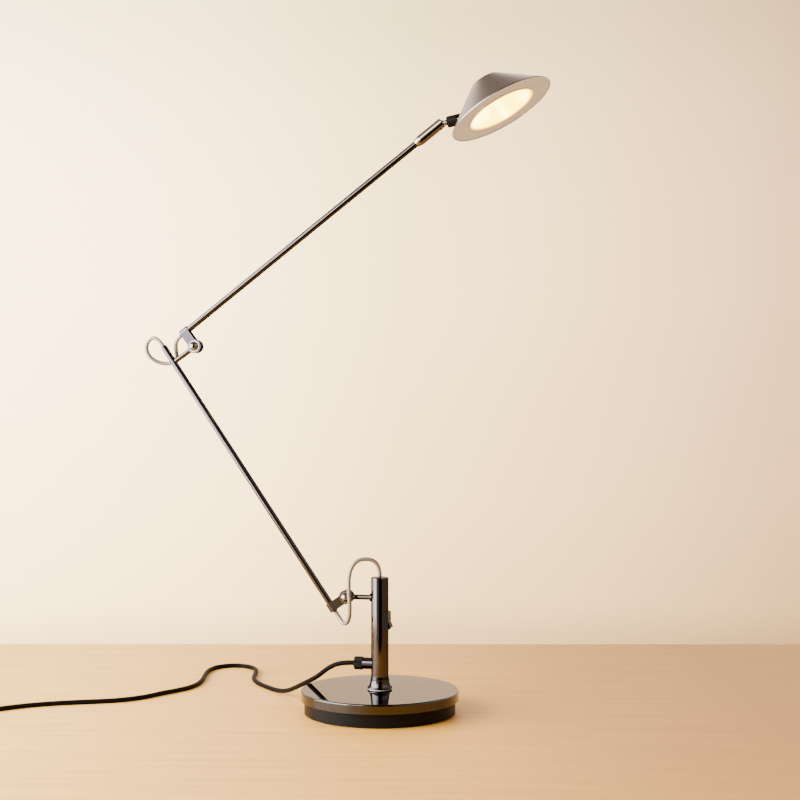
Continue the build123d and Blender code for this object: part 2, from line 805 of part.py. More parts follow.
def front_ring():
    """The flat ring between the rim and the lens, its edge tapered to lie in the cone."""
    inner = lens_ring_diameter / 2 + slide_fit
    back = ring_setback + ring_thickness
    outer = shade_inner_radius - slide_fit
    edge, back_edge = (outer - max(level - shade_knee, 0) * cone_slope for level in (ring_setback, back))
    section = outline((inner, ring_setback), (edge, ring_setback), (back_edge, back), (inner, back))
    return head * turned(section)


def lens_ring():
    """The thin bright ring round the lens, with a ledge behind it."""
    ledge = lens_setback + lens_thickness
    ring = washer(lens_ring_diameter, lens_diameter + 2 * slide_fit, 0, lens_ring_depth)
    ledge_bore = lens_diameter - 2 * lens_ledge
    ring += washer(lens_ring_diameter - lens_ring_wall, ledge_bore, ledge, ledge + lens_ledge_thickness)
    return head * ring


def lens():
    disc_solid = disc(lens_diameter, lens_setback, lens_setback + lens_thickness)
    return head * fillet(disc_solid.edges().group_by(Axis.Z)[0], 0.8)


def heat_sink():
    """The plate behind the lens, on three legs from the front ring, with fins behind it."""
    top = sink_level + sink_thickness
    plate = disc(sink_diameter, sink_level, top)
    for place in PolarLocations(leg_circle / 2, leg_count, start_angle=60):
        plate += place * disc(leg_diameter, ring_setback + ring_thickness, top)
    field = disc(fin_field_diameter, top, top + fin_height)
    for i in range(fin_count):
        y = (i - (fin_count - 1) / 2) * fin_pitch
        fin = Pos(0, y, top + fin_height / 2) * Box(fin_field_diameter, fin_thickness, fin_height)
        plate += fin & field
    return head * plate


def led_board():
    return head * disc(board_diameter, sink_level - board_thickness, sink_level)


def led_chips():
    level = sink_level - board_thickness - chip_thickness / 2
    chip = Box(chip_size, chip_size, chip_thickness)
    places = [place for count, radius in chip_rings for place in PolarLocations(radius, count)]
    return Compound([head * (Pos(0, 0, level) * (place * chip)) for place in places])


def driver():
    low = sink_level + sink_thickness + fin_height
    box = Pos(0, 0, low + driver_height / 2) * Box(driver_length, driver_width, driver_height)
    return head * fillet(box.edges().filter_by(Axis.Z), 1.5)


# ---------------------------------------------------------------- cords
lower_tail = tuple(lower_arm.from_local_coords(Vector(-tube_tail, pivot_offset, 0)))
lower_lead = tuple(lower_arm.from_local_coords(Vector(-tube_tail - 9.5, pivot_offset, 0)))
lower_head = tuple(lower_arm.from_local_coords(Vector(lower_tube_length - tube_tail, pivot_offset, 0)))
lower_exit = tuple(lower_arm.from_local_coords(Vector(lower_tube_length - tube_tail + 9, pivot_offset, 0)))
upper_tail = tuple(upper_arm.from_local_coords(Vector(-tube_tail, pivot_offset, 0)))
upper_lead = tuple(upper_arm.from_local_coords(Vector(-tube_tail - 8, pivot_offset, 0)))

# From the cap, over and down in front of the lower pivot, and up into the lower tube.
lower_loop_route = [
    (0, 0, post_top),
    (0, 0, 165),
    (-7, -4, 177),
    (-24, -10, 177),
    (-32.5, -15, 161),
    (-32, -17.5, 139),
    (-30.5, -16.5, 117),
    (-34, -12, 101.5),
    (-42.5, -4, 99.5),
    lower_lead,
    lower_tail,
]

# From the lower tube's top, round to the left, behind the tube, and up into the upper tube.
elbow_loop_route = [
    lower_head,
    lower_exit,
    (-277.5, 0, 430.5),
    (-286, 1.5, 420),
    (-282.5, 4, 407),
    (-271.5, 7.5, 399.8),
    (-257.5, 9.5, 398.5),
    (-248.5, 9.2, 405),
    (-249.5, 5.5, 417),
    upper_lead,
    upper_tail,
]

# From the gland, over the back left edge of the base, and along the table.
mains_route = [
    (gland_exit_x, 0, inlet_z),
    (-44, 0, inlet_z),
    (-60, 2.5, 49.8),
    (-76, 8, 37.2),
    (-92, 19, 28.3),
    (-109, 34, 18.4),
    (-127, 56, 8.7),
    (-147, 81, on_table + 0.2),
    (-168, 101, on_table),
    (-190, 126, on_table),
    (-204, 156, on_table),
    (-210, 184, on_table),
    (-218, 211, on_table),
    (-234, 231, on_table),
    (-258, 236, on_table),
    (-276, 219, on_table),
    (-278, 192, on_table),
    (-270, 158, on_table),
    (-260, 122, on_table),
    (-257, 88, on_table),
    (-265, 61, on_table),
    (-279, 38, on_table),
    (-288, 14, on_table),
    (-303, -8, on_table),
    (-328, -25, on_table),
    (-360, -39, on_table),
    (-390, -56, on_table),
    (-411, -74, on_table),
    (-428, -95, on_table),
    (-448, -116, on_table),
]
# The run, counted from the gland, in the middle of which the cord is split into two nodes.
mains_split = 8


def corner_radii(route):
    """0.45 of each corner's shorter run, over the tangent of half its turn."""
    points = [Vector(*p) for p in route]
    radii = []
    for before, corner, after in zip(points, points[1:], points[2:]):
        run_in = corner - before
        run_out = after - corner
        half_turn = math.radians(run_in.get_angle(run_out)) / 2
        radii.append(0.45 * min(run_in.length, run_out.length) / math.tan(half_turn))
    return radii


def cord_tube(name, route, radii, diameter):
    path = FilletPolyline(*route, radius=radii)
    tube = sweep(Plane(origin=path @ 0, z_dir=path % 0) * Circle(diameter / 2), path=path)
    section = math.pi * diameter**2 / 4
    print(f"{name}: length {path.length:.0f}, radii {[round(r, 1) for r in radii]}")
    print(f"{name}: volume {tube.volume:.0f}, section times length {section * path.length:.0f}")
    return tube, path.length


def mains_stretches():
    radii = corner_radii(mains_route)
    a, b = (Vector(*p) for p in mains_route[mains_split : mains_split + 2])
    middle = tuple((a + b) / 2)
    first, first_length = cord_tube(
        "mains_cord_first", mains_route[: mains_split + 1] + [middle], radii[:mains_split], mains_diameter
    )
    rest, rest_length = cord_tube(
        "mains_cord", [middle] + mains_route[mains_split + 1 :], radii[mains_split:], mains_diameter
    )
    return first, rest, first_length + rest_length


def biarc(start, start_line, end, end_line):
    """Two arcs that leave start and reach end along the given unit lines."""
    gap = end - start
    both = start_line + end_line
    square = 4 - both.dot(both)
    cross = gap.dot(both)
    reach = gap.dot(gap) / (cross + math.sqrt(cross**2 + square * gap.dot(gap)))
    joint = (start + start_line * reach + end - end_line * reach) / 2
    first = Edge.make_tangent_arc(start, start_line, joint)
    return [first, Edge.make_tangent_arc(joint, first % 1, end)]


def coil_route():
    """The coil's line: it spirals in on the table, climbs a layer, and spirals out again."""
    a, b = (Vector(*p) for p in mains_route[-2:])
    entry_line = (b - a).normalized()
    entry = b + entry_line * coil_lead
    inward = Vector(entry_line.Y, -entry_line.X, 0)
    outer = coil_mean_radius + coil_pitch * coil_quarters / 16
    centre = entry + inward * outer
    start_angle = math.atan2(-inward.Y, -inward.X)
    mid = coil_quarters / 2
    stations = []
    for i in range(coil_quarters + 1):
        angle = start_angle - i * math.pi / 2
        r = outer - coil_pitch * (mid - abs(mid - i)) / 4
        climb = min(max((i - mid + 1) / 2, 0), 1)
        height = coil_layer_step * (3 * climb**2 - 2 * climb**3)
        slope_r = coil_pitch / (2 * math.pi) * (0 if i in (0, coil_quarters) else (1 if i < mid else -1))
        slope_z = coil_layer_step * 6 * (climb - climb**2) / math.pi
        out = Vector(math.cos(angle), math.sin(angle), 0)
        round_line = Vector(math.sin(angle), -math.cos(angle), 0)
        point = centre + out * r + Vector(0, 0, height)
        line = (round_line * r - out * slope_r + Vector(0, 0, slope_z)).normalized()
        stations.append((point, line))
    edges = [Edge.make_line(b, entry)]
    for (p, p_line), (q, q_line) in zip(stations, stations[1:]):
        edges += biarc(p, p_line, q, q_line)
    last, last_line = stations[-1]
    last_line = Vector(last_line.X, last_line.Y, 0).normalized()
    drop = Vector(0, 0, plug_body_thickness / 2 - last.Z)
    landing = last + last_line * coil_landing + drop
    edges += biarc(last, last_line, landing, last_line)
    edges.append(Edge.make_line(landing, landing + last_line * coil_lead))
    return Wire(edges), landing + last_line * coil_lead, last_line


def least_gap(path, diameter):
    """The least room between two turns, measured on points along the path."""
    count = int(path.length / 2.5)
    points = [path @ (i / count) for i in range(count + 1)]
    apart = int(60 / 2.5)
    nearest = min((p - q).length for i, p in enumerate(points) for q in points[i + apart :])
    return nearest - diameter


def mains_coil(path):
    tube = sweep(Plane(origin=path @ 0, z_dir=path % 0) * Circle(mains_diameter / 2), path=path)
    section = math.pi * mains_diameter**2 / 4
    print(f"mains_coil: length {path.length:.0f}, least gap {least_gap(path, mains_diameter):.2f}")
    print(f"mains_coil: volume {tube.volume:.0f}, section times length {section * path.length:.0f}")
    return tube


def plug(end, line):
    """A plain flat two-pin plug that lies on the table at the end of the cord."""
    place = Plane(origin=(end.X, end.Y, plug_body_thickness / 2), x_dir=line, z_dir=(0, 0, 1))
    side = [
        (0, plug_neck_half),
        (plug_grip_start, plug_grip_half),
        (plug_shoulder_start, plug_body_width / 2),
        (plug_body_length, plug_body_width / 2),
    ]
    points = side + [(x, -y) for x, y in reversed(side)]
    body = extrude(make_face(Polyline(*points, close=True)), plug_body_thickness / 2, both=True)
    body = chamfer(body.edges().group_by(Axis.Z)[-1], plug_edge)
    body = chamfer(body.edges().group_by(Axis.Z)[0], plug_edge)
    pin = Cylinder(plug_pin_diameter / 2, plug_pin_length, align=DOWN_Z)
    pin = fillet(pin.edges().group_by(Axis.Z)[-1], plug_pin_round)
    pin = Pos(plug_body_length, 0, 0) * Rot(0, 90, 0) * pin
    pins = Compound([place * (Pos(0, y, 0) * pin) for y in (-plug_pin_spacing / 2, plug_pin_spacing / 2)])
    return place * body, pins


# ---------------------------------------------------------------- write the parts
def build_parts():
    mains_first, mains_rest, seen_length = mains_stretches()
    coil_path, coil_end, coil_line = coil_route()
    plug_body, plug_pins = plug(coil_end, coil_line)
    print(f"mains cord: {seen_length + coil_path.length:.0f} from the gland to the plug")
    lower_loop, _ = cord_tube(
        "lower_flex_loop", lower_loop_route, corner_radii(lower_loop_route), flex_diameter
    )
    elbow_loop, _ = cord_tube(
        "elbow_flex_loop", elbow_loop_route, corner_radii(elbow_loop_route), flex_diameter
    )
    return {
        "base_cover": base_cover(),
        "base_tray": base_tray(),
        "base_weight": base_weight(),
        "base_pad": base_pad(),
        "base_screws": base_screws(),
        "swivel_washer": swivel_washer(),
        "swivel_spring": swivel_spring(),
        "swivel_bolt": swivel_bolt(),
        "post_tube": post_tube(),
        "post_foot": post_foot(),
        "foot_plug": foot_plug(),
        "post_cap": post_cap(),
        "cap_bush": cap_bush(),
        "pivot_stub": pivot_stub(),
        "stub_nut": stub_nut(),
        "switch_housing": switch_housing(),
        "switch_rocker": switch_rocker(),
        "cord_boss": cord_boss(),
        "gland_nut": gland_nut(),
        "gland_bush": gland_bush(),
        "mains_tail": mains_tail(),
        "terminal_block": terminal_block(),
        "post_flex": post_flex(),
        "lower_tube": lower_arm * arm_tube(lower_tube_length),
        "lower_clevis": lower_arm * clevis(),
        "lower_pivot_bolt": lower_arm * pivot_bolt(),
        "lower_dome_nuts": lower_arm * dome_nuts(),
        "lower_friction_washers": lower_arm * friction_washers(),
        "elbow_stub": lower_arm * elbow_stub(),
        "lower_tube_flex": lower_arm * arm_flex(lower_tube_length - tube_tail),
        "upper_tube": upper_arm * arm_tube(upper_tube_length),
        "upper_clevis": upper_arm * clevis(),
        "elbow_bolt": upper_arm * pivot_bolt(),
        "elbow_dome_nuts": upper_arm * dome_nuts(),
        "elbow_friction_washers": upper_arm * friction_washers(),
        "upper_tube_flex": upper_arm * arm_flex(upper_tube_end),
        "head_sleeve": head_sleeve(),
        "socket_cap": socket_cap(),
        "ball_seat": ball_seat(),
        "ball_stud": ball_stud(),
        "head_collar": head_collar(),
        "collar_ring": collar_ring(),
        "shade_bracket": shade_bracket(),
        "bracket_nut": bracket_nut(),
        "shade": shade(),
        "top_vent": top_vent(),
        "front_ring": front_ring(),
        "lens_ring": lens_ring(),
        "lens": lens(),
        "heat_sink": heat_sink(),
        "led_board": led_board(),
        "led_chips": led_chips(),
        "driver": driver(),
        "lower_flex_loop": lower_loop,
        "elbow_flex_loop": elbow_loop,
        "mains_cord_first": mains_first,
        "mains_cord": mains_rest,
        "mains_coil": mains_coil(coil_path),
        "plug_body": plug_body,
        "plug_pins": plug_pins,
    }


os.makedirs("parts", exist_ok=True)
for node, shape in build_parts().items():
    export_step(shape, f"parts/{node}.step")
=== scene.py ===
import json
import math

import bpy
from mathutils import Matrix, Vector


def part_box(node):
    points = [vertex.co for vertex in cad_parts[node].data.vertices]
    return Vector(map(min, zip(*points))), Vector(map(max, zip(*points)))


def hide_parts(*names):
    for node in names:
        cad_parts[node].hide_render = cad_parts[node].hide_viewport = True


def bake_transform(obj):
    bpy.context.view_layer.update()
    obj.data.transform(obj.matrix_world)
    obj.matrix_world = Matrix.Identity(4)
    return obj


# Looks of the slim articulated desk lamp: dark chrome tubes, a satin cone shade with a glowing
# frosted lens, braided flex past both pivots, and a black mains cord. Metres, +Z up, as the frame.

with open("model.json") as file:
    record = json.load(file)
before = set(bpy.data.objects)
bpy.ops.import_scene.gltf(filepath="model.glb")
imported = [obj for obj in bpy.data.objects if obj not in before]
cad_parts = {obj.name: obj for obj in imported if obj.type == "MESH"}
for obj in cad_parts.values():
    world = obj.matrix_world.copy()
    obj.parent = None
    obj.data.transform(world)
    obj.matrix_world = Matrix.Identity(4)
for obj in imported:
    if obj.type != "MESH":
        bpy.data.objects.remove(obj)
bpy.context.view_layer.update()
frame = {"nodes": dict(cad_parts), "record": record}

MM = 0.001

# ---------------------------------------------------------------- camera
# The photograph was taken level, 13 degrees to the right of square on to the arms.
CAMERA_PLACE = (0.4048, -1.6512, 0.356)
CAMERA_AZIMUTH = 13.0
SENSOR_MM = 36.0
LENS_MM = 67.14

# ---------------------------------------------------------------- cords
# In millimetres, as in the model, apart from the three whole lengths, which are in metres.
FLEX_DIAMETER = 4.6
FLEX_SIDES = 32
MAINS_DIAMETER = 5.5
MAINS_SIDES = 24
ON_TABLE = 2.8
COIL_MEAN_RADIUS = 28.7
COIL_PITCH = 6.1
COIL_QUARTERS = 21
COIL_LEAD = 6.0
COIL_LANDING = 26.0
COIL_STEPS_PER_QUARTER = 4
LANDING_EASE = 0.12  # the share of the drop to the plug at each end of its S
PLUG_AXIS_Z = 7.0

LOWER_LOOP_ROUTE = [
    (0, 0, 154),
    (0, 0, 165),
    (-7, -4, 175),
    (-24, -10, 175),
    (-32.5, -15, 161),
    (-32, -17.5, 139),
    (-30.5, -16.5, 117),
    (-34, -12, 102.5),
    (-42.5, -4, 100.3),
]
ELBOW_LOOP_ROUTE = [
    (-277.5, 0, 430.5),
    (-286, 1.5, 420),
    (-282.5, 4, 407),
    (-271.5, 7.5, 399.8),
    (-257.5, 9.5, 398.5),
    (-248.5, 9.2, 405),
    (-249.5, 5.5, 417),
]
MAINS_ROUTE = [
    (-29.3, 0, 55.5),
    (-44, 0, 55.5),
    (-60, 2.5, 49.5),
    (-76, 8, 36.5),
    (-92, 19, 27.5),
    (-109, 34, 18),
    (-127, 56, 8.5),
    (-147, 81, ON_TABLE),
    (-168, 101, ON_TABLE),
    (-190, 126, ON_TABLE),
    (-204, 156, ON_TABLE),
    (-210, 184, ON_TABLE),
    (-218, 211, ON_TABLE),
    (-234, 231, ON_TABLE),
    (-258, 236, ON_TABLE),
    (-276, 219, ON_TABLE),
    (-278, 192, ON_TABLE),
    (-270, 158, ON_TABLE),
    (-260, 122, ON_TABLE),
    (-257, 88, ON_TABLE),
    (-265, 61, ON_TABLE),
    (-279, 38, ON_TABLE),
    (-288, 14, ON_TABLE),
    (-303, -8, ON_TABLE),
    (-328, -25, ON_TABLE),
    (-360, -39, ON_TABLE),
    (-390, -56, ON_TABLE),
    (-411, -74, ON_TABLE),
    (-428, -95, ON_TABLE),
    (-448, -116, ON_TABLE),
]

# The arms' frames, as in the model: a pivot, the tube's angle and its offset from the pivot, and
# how far out of its tube's end a flex leaves straight.
PIVOT_OFFSET = 21.0
TUBE_TAIL = 6.0
LOWER_PIVOT = (-38.9, 130.8)
LOWER_ANGLE = 124.5
LOWER_TUBE_END = 364.0
UPPER_PIVOT = (-222.546, 418.840)
UPPER_ANGLE = 37.2
LOWER_TAIL_RUN = 9.5
ELBOW_FIRST_RUN = 9.0
ELBOW_LAST_RUN = 8.0

# The shade's face: the line square to it, its height along that line, and its narrow edge.
FACE_AXIS = (-0.49276, 0.06224, 0.86794)
FACE_LEVEL = 0.520946
RIM_EDGE_HEIGHT = 0.00020
RING_LIGHT = (0.58, 0.56, 0.54, 1)


def on_arm(pivot, angle, along):
    """A point in millimetres on the axis of an arm's tube, that far from its pivot."""
    turn = math.radians(angle)
    x = pivot[0] + along * math.cos(turn) - PIVOT_OFFSET * math.sin(turn)
    z = pivot[1] + along * math.sin(turn) + PIVOT_OFFSET * math.cos(turn)
    return (x, 0, z)


def metres(points):
    return [Vector(p) * MM for p in points]


# ---------------------------------------------------------------- tubes along a route
def smooth_line(route):
    """The points of the smooth spline that has the route's points as its control points."""
    curve = bpy.data.curves.new("line", "CURVE")
    curve.dimensions = "3D"
    curve.resolution_u = 12
    spline = curve.splines.new("NURBS")
    spline.points.add(len(route) - 1)
    for point, place in zip(spline.points, route):
        point.co = (*place, 1)
    spline.order_u = 3
    spline.use_endpoint_u = True
    holder = bpy.data.objects.new("line", curve)
    mesh = bpy.data.meshes.new_from_object(holder)
    points = [v.co.copy() for v in mesh.vertices]
    bpy.data.objects.remove(holder)
    bpy.data.curves.remove(curve)
    bpy.data.meshes.remove(mesh)
    return points


def tube(name, line, radius, sides):
    """A round tube along a line, with a UV map of turns round it and metres along it."""
    vertices, faces, uvs = [], [], []
    tangents = []
    for i, p in enumerate(line):
        before, after = line[max(i - 1, 0)], line[min(i + 1, len(line) - 1)]
        tangents.append((after - before).normalized())
    side = tangents[0].orthogonal().normalized()
    travelled = [0.0]
    for a, b in zip(line, line[1:]):
        travelled.append(travelled[-1] + (b - a).length)
    for p, t in zip(line, tangents):
        side = (side - t * side.dot(t)).normalized()
        other = t.cross(side)
        for k in range(sides):
            turn = 2 * math.pi * k / sides
            vertices.append(p + (side * math.cos(turn) + other * math.sin(turn)) * radius)
    for i in range(len(line) - 1):
        for k in range(sides):
            n = (k + 1) % sides
            faces.append((i * sides + k, i * sides + n, (i + 1) * sides + n, (i + 1) * sides + k))
            low, high = k / sides, (k + 1) / sides
            near, far = travelled[i], travelled[i + 1]
            uvs += [(low, near), (high, near), (high, far), (low, far)]
    last = (len(line) - 1) * sides
    faces.append(tuple(reversed(range(sides))))
    faces.append(tuple(range(last, last + sides)))
    uvs += [(0, 0)] * sides + [(0, travelled[-1])] * sides
    mesh = bpy.data.meshes.new(name)
    mesh.from_pydata(vertices, [], faces)
    layer = mesh.uv_layers.new(name="UVMap")
    for corner, uv in zip(layer.data, uvs):
        corner.uv = uv
    mesh.polygons.foreach_set("use_smooth", [True] * len(mesh.polygons))
    mesh.update()
    piece = bpy.data.objects.new(name, mesh)
    bpy.context.scene.collection.objects.link(piece)
    return piece


def coil_route():
    """The coil's points: it spirals in on the table, climbs a layer, and spirals out to the plug."""
    a, b = (Vector(p) for p in MAINS_ROUTE[-2:])
    entry_line = (b - a).normalized()
    entry = b + entry_line * COIL_LEAD
    inward = Vector((entry_line.y, -entry_line.x, 0))
    outer = COIL_MEAN_RADIUS + COIL_PITCH * COIL_QUARTERS / 16
    centre = entry + inward * outer
    start = math.atan2(-inward.y, -inward.x)
    mid = COIL_QUARTERS / 2
    points = [entry]
    steps = COIL_QUARTERS * COIL_STEPS_PER_QUARTER
    step_turn = math.pi / 2 / COIL_STEPS_PER_QUARTER
    bulge = 1 / math.cos(step_turn / 2)
    for n in range(steps):
        i = (n + 0.5) / COIL_STEPS_PER_QUARTER
        angle = start - i * math.pi / 2
        r = (outer - COIL_PITCH * (mid - abs(mid - i)) / 4) * bulge
        climb = min(max((i - mid + 1) / 2, 0), 1)
        height = COIL_PITCH * (3 * climb**2 - 2 * climb**3)
        out = Vector((math.cos(angle), math.sin(angle), 0))
        points.append(centre + out * r + Vector((0, 0, height)))
    end_angle = start - COIL_QUARTERS * math.pi / 2
    out = Vector((math.cos(end_angle), math.sin(end_angle), 0))
    line = Vector((math.sin(end_angle), -math.cos(end_angle), 0))
    last = centre + out * outer + Vector((0, 0, COIL_PITCH))
    landing = last + line * COIL_LANDING + Vector((0, 0, PLUG_AXIS_Z - ON_TABLE - COIL_PITCH))
    share = Vector((0, 0, landing.z - last.z))
    points.append(last + line * COIL_LANDING / 3 + share * LANDING_EASE)
    points.append(last + line * COIL_LANDING * 2 / 3 + share * (1 - LANDING_EASE))
    points.append(landing)
    points.append(landing + line * COIL_LEAD)
    return points


def make_camera():
    data = bpy.data.cameras.new("camera")
    data.sensor_width = SENSOR_MM
    data.lens = LENS_MM
    data.dof.use_dof = False
    camera = bpy.data.objects.new("camera", data)
    camera.location = CAMERA_PLACE
    camera.rotation_euler = (math.radians(90), 0, math.radians(CAMERA_AZIMUTH))
    bpy.context.scene.collection.objects.link(camera)
    bpy.context.scene.camera = camera


def make_cords(flex_material, cord_material):
    lower_route = metres(LOWER_LOOP_ROUTE + [
        on_arm(LOWER_PIVOT, LOWER_ANGLE, -TUBE_TAIL - LOWER_TAIL_RUN),
        on_arm(LOWER_PIVOT, LOWER_ANGLE, -TUBE_TAIL),
    ])
    lower_line = smooth_line(lower_route)
    lower = tube("lower_loop", lower_line, FLEX_DIAMETER / 2 * MM, FLEX_SIDES)
    lower.data.materials.append(flex_material)
    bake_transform(lower)
    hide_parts("lower_flex_loop")

    elbow_route = metres([
        on_arm(LOWER_PIVOT, LOWER_ANGLE, LOWER_TUBE_END),
        on_arm(LOWER_PIVOT, LOWER_ANGLE, LOWER_TUBE_END + ELBOW_FIRST_RUN),
        *ELBOW_LOOP_ROUTE,
        on_arm(UPPER_PIVOT, UPPER_ANGLE, -TUBE_TAIL - ELBOW_LAST_RUN),
        on_arm(UPPER_PIVOT, UPPER_ANGLE, -TUBE_TAIL),
    ])
    elbow_line = smooth_line(elbow_route)
    elbow = tube("elbow_loop", elbow_line, FLEX_DIAMETER / 2 * MM, FLEX_SIDES)
    elbow.data.materials.append(flex_material)
    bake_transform(elbow)
    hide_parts("elbow_flex_loop")

    mains_line = smooth_line(metres(MAINS_ROUTE + coil_route()))
    mains = tube("mains_lead", mains_line, MAINS_DIAMETER / 2 * MM, MAINS_SIDES)
    mains.data.materials.append(cord_material)
    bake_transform(mains)
    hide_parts("mains_cord_first", "mains_cord", "mains_coil")


# ---------------------------------------------------------------- materials
# A smooth metal drifts between two colours and two roughnesses. "edge" is how much its grazing
# edge shines, and "smudge_scale" is the smudges' number per metre.
SMOOTH_METALS = {
    "black_chrome": dict(
        dark=(0.056, 0.052, 0.060), light=(0.068, 0.063, 0.072),
        rough_low=0.03, rough_high=0.08, edge=0.35,
    ),
    "base_gunmetal": dict(
        dark=(0.045, 0.044, 0.046), light=(0.054, 0.053, 0.055),
        rough_low=0.03, rough_high=0.06, smudge_scale=14.0,
    ),
    "bright_chrome": dict(
        dark=(0.205, 0.198, 0.198), light=(0.235, 0.226, 0.226),
        rough_low=0.04, rough_high=0.10, edge=0.45,
    ),
    "zinc_steel": dict(
        dark=(0.55, 0.55, 0.54), light=(0.62, 0.61, 0.58), rough_low=0.25, rough_high=0.4,
    ),
    "gold_ring": dict(
        dark=(0.90, 0.52, 0.16), light=(0.94, 0.57, 0.20), rough_low=0.12, rough_high=0.2,
    ),
    "pin_metal": dict(
        dark=(0.70, 0.66, 0.58), light=(0.76, 0.72, 0.64), rough_low=0.1, rough_high=0.2,
    ),
}
# A satin coat drifts between two colours. "grain" is its grains' number per metre.
SATIN_COATS = {
    "black_coat": dict(
        dark=(0.003, 0.003, 0.003), light=(0.005, 0.004, 0.004),
        roughness=0.40, metallic=0.0, bump=0.04, specular=0.06,
    ),
    "cast_weight": dict(
        dark=(0.08, 0.08, 0.08), light=(0.12, 0.12, 0.12),
        roughness=0.7, metallic=0.5, grain=300.0, bump=0.4,
    ),
    "felt": dict(
        dark=(0.015, 0.015, 0.015), light=(0.03, 0.03, 0.03),
        roughness=0.9, metallic=0.0, grain=2200.0, bump=0.5,
    ),
    "black_plastic": dict(
        dark=(0.002, 0.002, 0.002), light=(0.004, 0.004, 0.004),
        roughness=0.38, metallic=0.0, bump=0.05, specular=0.10,
    ),
    "nylon": dict(
        dark=(0.62, 0.60, 0.54), light=(0.70, 0.68, 0.62), roughness=0.45, metallic=0.0,
    ),
    "black_rubber": dict(
        dark=(0.015, 0.015, 0.015), light=(0.025, 0.025, 0.025), roughness=0.6, metallic=0.0,
    ),
    "mains_sheath": dict(
        dark=(0.002, 0.002, 0.002), light=(0.004, 0.003, 0.003),
        roughness=0.50, metallic=0.0, grain=1400.0, bump=0.05, specular=0.03,
    ),
    "shade_coat": dict(
        dark=(0.104, 0.091, 0.081), light=(0.113, 0.099, 0.089),
        roughness=0.28, metallic=1.0, grain=1200.0, bump=0.02,
    ),
    "ring_coat": dict(
        dark=(0.56, 0.54, 0.52), light=(0.60, 0.575, 0.555),
        roughness=0.36, metallic=0.8, grain=1200.0, bump=0.05,
    ),
    "vent_coat": dict(
        dark=(0.034, 0.028, 0.024), light=(0.044, 0.036, 0.031),
        roughness=0.30, metallic=1.0, grain=1200.0, bump=0.02,
    ),
    "sink_metal": dict(
        dark=(0.55, 0.55, 0.56), light=(0.62, 0.62, 0.63), roughness=0.4, metallic=1.0,
    ),
    "board": dict(
        dark=(0.80, 0.80, 0.77), light=(0.86, 0.86, 0.83), roughness=0.4, metallic=0.0,
    ),
    "led": dict(
        dark=(0.85, 0.70, 0.25), light=(0.90, 0.76, 0.30), roughness=0.25, metallic=0.0,
    ),
}
DRIFT_LOW, DRIFT_HIGH = 0.3, 0.7  # the noise's range over which a colour drifts
METAL_GRAIN = 420.0
METAL_GRAIN_SHARE = 0.3
METAL_ROUGH_LOW, METAL_ROUGH_HIGH = 0.45, 0.85
METAL_BUMP, METAL_BUMP_DEPTH = 0.04, 0.00005
COAT_CLOUDS = 18.0
COAT_ROUGH_SPREAD = 0.05
COAT_BUMP_DEPTH = 0.0001

BRAID_PER_METRE = 900.0
BRAID_ROUND = 12.0
BRAID_HALF_STEP = 0.5
BRAID_GAP = (0.20, 0.175, 0.16)
BRAID_STRAND = (0.265, 0.235, 0.215)
BRAID_GAP_END = 0.10
BRAID_EDGE = (0.20, 0.18, 0.17, 1)
BRAID_METALLIC = 0.6
BRAID_ROUGHNESS = 0.42
BRAID_BUMP, BRAID_BUMP_DEPTH = 0.05, 0.0002

LENS_RADIUS = 39.2 * MM
LENS_PATCHES, LENS_PATCH_STRETCH = 24.0, (2.0, 0.5, 1.0)
LENS_GLOW = ((0.42, (0.72, 0.53, 0.004)), (0.62, (1.0, 0.90, 0.20)))
LENS_EDGE = ((0.89, 1.0), (0.97, (0.42, 0.33, 0.20)))
LENS_BASE = (0.9, 0.88, 0.8, 1)
LENS_ROUGHNESS = 0.5
LENS_STRENGTH = 13.5


def fill_ramp(node, stops):
    """Sets a colour ramp's stops: each is (position, grey or colour)."""
    elements = node.color_ramp.elements
    while len(elements) < len(stops):
        elements.new(0.5)
    for element, (position, colour) in zip(elements, stops):
        element.position = position
        grey = isinstance(colour, (int, float))
        element.color = (colour, colour, colour, 1) if grey else (*colour, 1)


